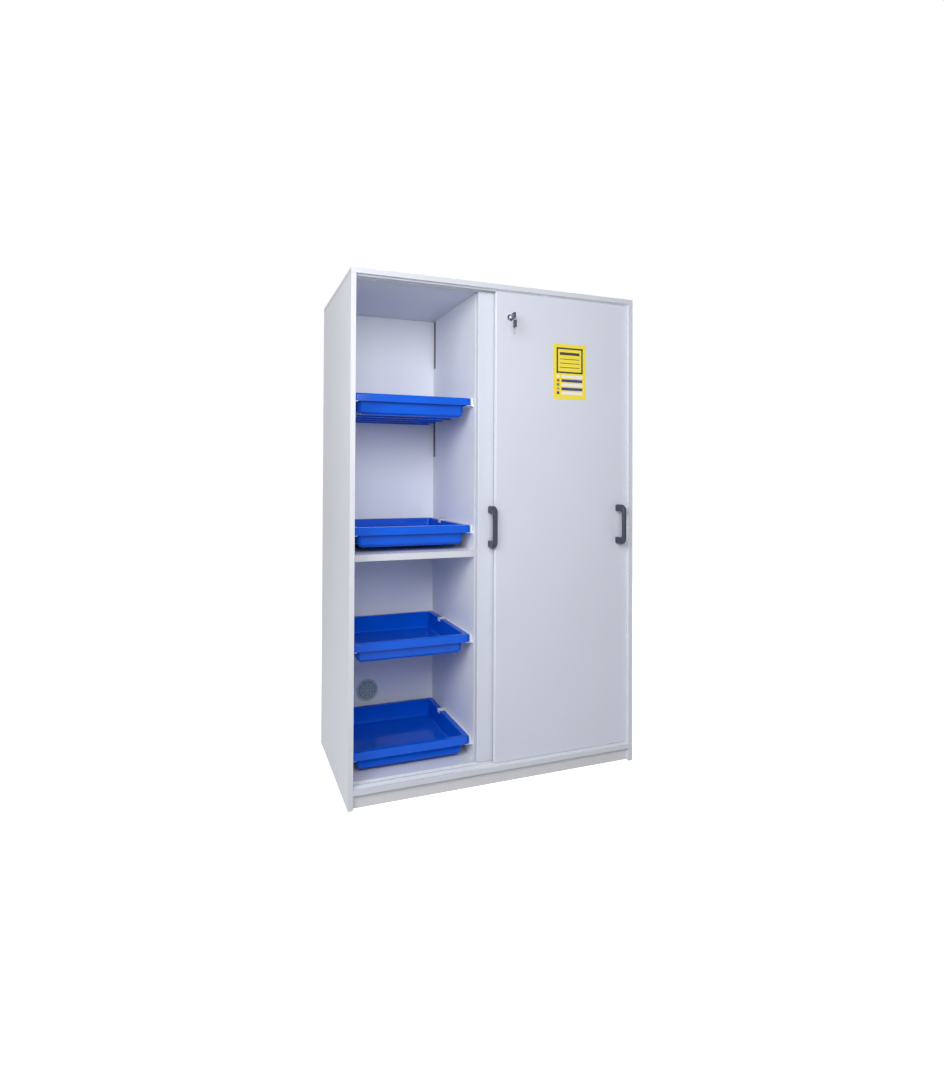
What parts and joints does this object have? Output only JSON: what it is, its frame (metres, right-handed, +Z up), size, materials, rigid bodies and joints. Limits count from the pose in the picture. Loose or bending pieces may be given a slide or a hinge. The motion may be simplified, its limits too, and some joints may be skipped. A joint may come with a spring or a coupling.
{
  "type": "reagent drawer cabinet",
  "caption": "Tall white laboratory cabinet with bypassing sliding doors, a key lock and blue pull-out trays on roller slides in two bays beside an air column.",
  "frame": {"origin": "centre of the footprint at floor level, on the underside of the plinth brace", "axes": "+X to the right seen from the front, +Y to the back (the front faces -Y), +Z up"},
  "size_m": [1.2, 0.694, 1.99],
  "materials": {
    "carcass_board": "white melamine faced board",
    "door_board": "white melamine faced board, satin",
    "tray_plastic": "moulded, semi-gloss",
    "slide_steel": "white powder coat",
    "roller_nylon": "moulded nylon",
    "screw_steel": "zinc plated",
    "track_aluminium": "anodised",
    "gear_plastic": "moulded, grey",
    "handle_plastic": "dark grey, satin",
    "lock_chrome": "polished",
    "key_steel": "nickel plated",
    "key_cover": "black moulded",
    "card_laminate": "laminated card",
    "grille_plastic": "moulded",
    "collar_steel": "white powder coat"
  },
  "bodies": {
    "cabinet": {"left_side_panel": "carcass_board", "right_side_panel": "carcass_board", "top_panel": "carcass_board", "bottom_panel": "carcass_board", "back_panel": "carcass_board", "left_divider": "carcass_board", "right_divider": "carcass_board", "column_front_panel": "carcass_board", "plinth_boards": "carcass_board", "plinth_brace": "carcass_board", "left_shelf": "carcass_board", "right_shelf": "carcass_board", "shelf_pins": "screw_steel", "top_track": "track_aluminium", "bottom_track": "track_aluminium", "vent_grilles": "grille_plastic", "exhaust_collar": "collar_steel", "left_tray_runners": "slide_steel", "right_tray_runners": "slide_steel", "runner_screws": "screw_steel", "right_trays": "tray_plastic", "right_tray_carriers": "slide_steel", "right_tray_rollers": "roller_nylon"},
    "front_door": {"front_door": "door_board", "front_door_handle": "handle_plastic", "front_door_handle_screws": "screw_steel", "front_door_roller_housings": "gear_plastic", "front_door_top_guides": "gear_plastic", "lock_housing": "lock_chrome", "label_card": "card_laminate"},
    "rear_door": {"rear_door": "door_board", "rear_door_handle": "handle_plastic", "rear_door_handle_screws": "screw_steel", "rear_door_roller_housings": "gear_plastic", "rear_door_top_guides": "gear_plastic"},
    "lock_barrel": {"lock_barrel": "lock_chrome"},
    "key": {"key": "key_steel", "lock_core": "key_steel"},
    "key_ring": {"key_ring": "key_steel"},
    "spare_key": {"spare_key": "key_steel"},
    "front_door_left_wheel": {"front_door_left_wheel": "roller_nylon"},
    "front_door_right_wheel": {"front_door_right_wheel": "roller_nylon"},
    "rear_door_left_wheel": {"rear_door_left_wheel": "roller_nylon"},
    "rear_door_right_wheel": {"rear_door_right_wheel": "roller_nylon"},
    "left_tray_1": {"left_tray_1": "tray_plastic", "left_tray_1_carriers": "slide_steel"},
    "left_tray_1_front_rollers": {"left_tray_1_front_rollers": "roller_nylon"},
    "left_tray_1_rear_rollers": {"left_tray_1_rear_rollers": "roller_nylon"},
    "left_tray_2": {"left_tray_2": "tray_plastic", "left_tray_2_carriers": "slide_steel"},
    "left_tray_2_front_rollers": {"left_tray_2_front_rollers": "roller_nylon"},
    "left_tray_2_rear_rollers": {"left_tray_2_rear_rollers": "roller_nylon"},
    "left_tray_3": {"left_tray_3": "tray_plastic", "left_tray_3_carriers": "slide_steel"},
    "left_tray_3_front_rollers": {"left_tray_3_front_rollers": "roller_nylon"},
    "left_tray_3_rear_rollers": {"left_tray_3_rear_rollers": "roller_nylon"},
    "left_tray_4": {"left_tray_4": "tray_plastic", "left_tray_4_carriers": "slide_steel"},
    "left_tray_4_front_rollers": {"left_tray_4_front_rollers": "roller_nylon"},
    "left_tray_4_rear_rollers": {"left_tray_4_rear_rollers": "roller_nylon"}
  },
  "joints": [
    {"name": "front_door_slide", "type": "slide", "parent": "cabinet", "child": "front_door", "axis": [1, 0, 0], "range_m": [-0.492, 0]},
    {"name": "rear_door_slide", "type": "slide", "parent": "cabinet", "child": "rear_door", "axis": [1, 0, 0], "range_m": [-0.492, 0]},
    {"name": "front_door_left_wheel_spin", "type": "hinge", "parent": "front_door", "child": "front_door_left_wheel", "pos_m": [0.035, -0.3005, 0.0848], "axis": [0, 1, 0], "range_deg": [-2349.2, 0]},
    {"name": "front_door_right_wheel_spin", "type": "hinge", "parent": "front_door", "child": "front_door_right_wheel", "pos_m": [0.52, -0.3005, 0.0848], "axis": [0, 1, 0], "range_deg": [-2349.2, 0]},
    {"name": "rear_door_left_wheel_spin", "type": "hinge", "parent": "rear_door", "child": "rear_door_left_wheel", "pos_m": [-0.028, -0.2705, 0.0848], "axis": [0, 1, 0], "range_deg": [-2349.2, 0]},
    {"name": "rear_door_right_wheel_spin", "type": "hinge", "parent": "rear_door", "child": "rear_door_right_wheel", "pos_m": [0.457, -0.2705, 0.0848], "axis": [0, 1, 0], "range_deg": [-2349.2, 0]},
    {"name": "lock_push", "type": "slide", "parent": "front_door", "child": "lock_barrel", "axis": [0, 1, 0], "range_m": [0, 0.009], "stiffness_N_per_m": 400, "springref_m": -0.01},
    {"name": "key_turn", "type": "hinge", "parent": "lock_barrel", "child": "key", "pos_m": [0.035, -0.329, 1.827], "axis": [0, 1, 0], "range_deg": [0, 90]},
    {"name": "key_ring_swing", "type": "hinge", "parent": "key", "child": "key_ring", "pos_m": [0.035, -0.353, 1.82622], "axis": [1, 0, 0], "range_deg": [-60, 10]},
    {"name": "spare_key_swing", "type": "hinge", "parent": "key_ring", "child": "spare_key", "pos_m": [0.03562, -0.353, 1.80275], "axis": [1, 0, 0], "range_deg": [-25, 15]},
    {"name": "left_tray_1_slide", "type": "slide", "parent": "cabinet", "child": "left_tray_1", "axis": [0, -1, 0], "range_m": [0, 0.3]},
    {"name": "left_tray_1_front_roller_spin", "type": "hinge", "parent": "cabinet", "child": "left_tray_1_front_rollers", "pos_m": [-0.333, -0.213, 1.5002], "axis": [1, 0, 0], "range_deg": [0, 2148.6]},
    {"name": "left_tray_1_rear_roller_spin", "type": "hinge", "parent": "left_tray_1", "child": "left_tray_1_rear_rollers", "pos_m": [-0.333, 0.11, 1.4858], "axis": [1, 0, 0], "range_deg": [0, 2148.6]},
    {"name": "left_tray_2_slide", "type": "slide", "parent": "cabinet", "child": "left_tray_2", "axis": [0, -1, 0], "range_m": [0, 0.3]},
    {"name": "left_tray_2_front_roller_spin", "type": "hinge", "parent": "cabinet", "child": "left_tray_2_front_rollers", "pos_m": [-0.333, -0.213, 0.9922], "axis": [1, 0, 0], "range_deg": [0, 2148.6]},
    {"name": "left_tray_2_rear_roller_spin", "type": "hinge", "parent": "left_tray_2", "child": "left_tray_2_rear_rollers", "pos_m": [-0.333, 0.11, 0.9778], "axis": [1, 0, 0], "range_deg": [0, 2148.6]},
    {"name": "left_tray_3_slide", "type": "slide", "parent": "cabinet", "child": "left_tray_3", "axis": [0, -1, 0], "range_m": [0, 0.3]},
    {"name": "left_tray_3_front_roller_spin", "type": "hinge", "parent": "cabinet", "child": "left_tray_3_front_rollers", "pos_m": [-0.333, -0.213, 0.5562], "axis": [1, 0, 0], "range_deg": [0, 2148.6]},
    {"name": "left_tray_3_rear_roller_spin", "type": "hinge", "parent": "left_tray_3", "child": "left_tray_3_rear_rollers", "pos_m": [-0.333, 0.11, 0.5418], "axis": [1, 0, 0], "range_deg": [0, 2148.6]},
    {"name": "left_tray_4_slide", "type": "slide", "parent": "cabinet", "child": "left_tray_4", "axis": [0, -1, 0], "range_m": [0, 0.3]},
    {"name": "left_tray_4_front_roller_spin", "type": "hinge", "parent": "cabinet", "child": "left_tray_4_front_rollers", "pos_m": [-0.333, -0.213, 0.1522], "axis": [1, 0, 0], "range_deg": [0, 2148.6]},
    {"name": "left_tray_4_rear_roller_spin", "type": "hinge", "parent": "left_tray_4", "child": "left_tray_4_rear_rollers", "pos_m": [-0.333, 0.11, 0.1378], "axis": [1, 0, 0], "range_deg": [0, 2148.6]}
  ],
  "couplings": [
    {"joint": "rear_door_slide", "follows": "front_door_slide", "ratio": 1},
    {"joint": "front_door_left_wheel_spin", "follows": "front_door_slide", "rad_per_m": 83.333},
    {"joint": "front_door_right_wheel_spin", "follows": "front_door_slide", "rad_per_m": 83.333},
    {"joint": "rear_door_left_wheel_spin", "follows": "front_door_slide", "rad_per_m": 83.333},
    {"joint": "rear_door_right_wheel_spin", "follows": "front_door_slide", "rad_per_m": 83.333},
    {"joint": "left_tray_1_front_roller_spin", "follows": "left_tray_1_slide", "rad_per_m": 125},
    {"joint": "left_tray_1_rear_roller_spin", "follows": "left_tray_1_slide", "rad_per_m": 125},
    {"joint": "left_tray_2_front_roller_spin", "follows": "left_tray_2_slide", "rad_per_m": 125},
    {"joint": "left_tray_2_rear_roller_spin", "follows": "left_tray_2_slide", "rad_per_m": 125},
    {"joint": "left_tray_3_front_roller_spin", "follows": "left_tray_3_slide", "rad_per_m": 125},
    {"joint": "left_tray_3_rear_roller_spin", "follows": "left_tray_3_slide", "rad_per_m": 125},
    {"joint": "left_tray_4_front_roller_spin", "follows": "left_tray_4_slide", "rad_per_m": 125},
    {"joint": "left_tray_4_rear_roller_spin", "follows": "left_tray_4_slide", "rad_per_m": 125}
  ]
}
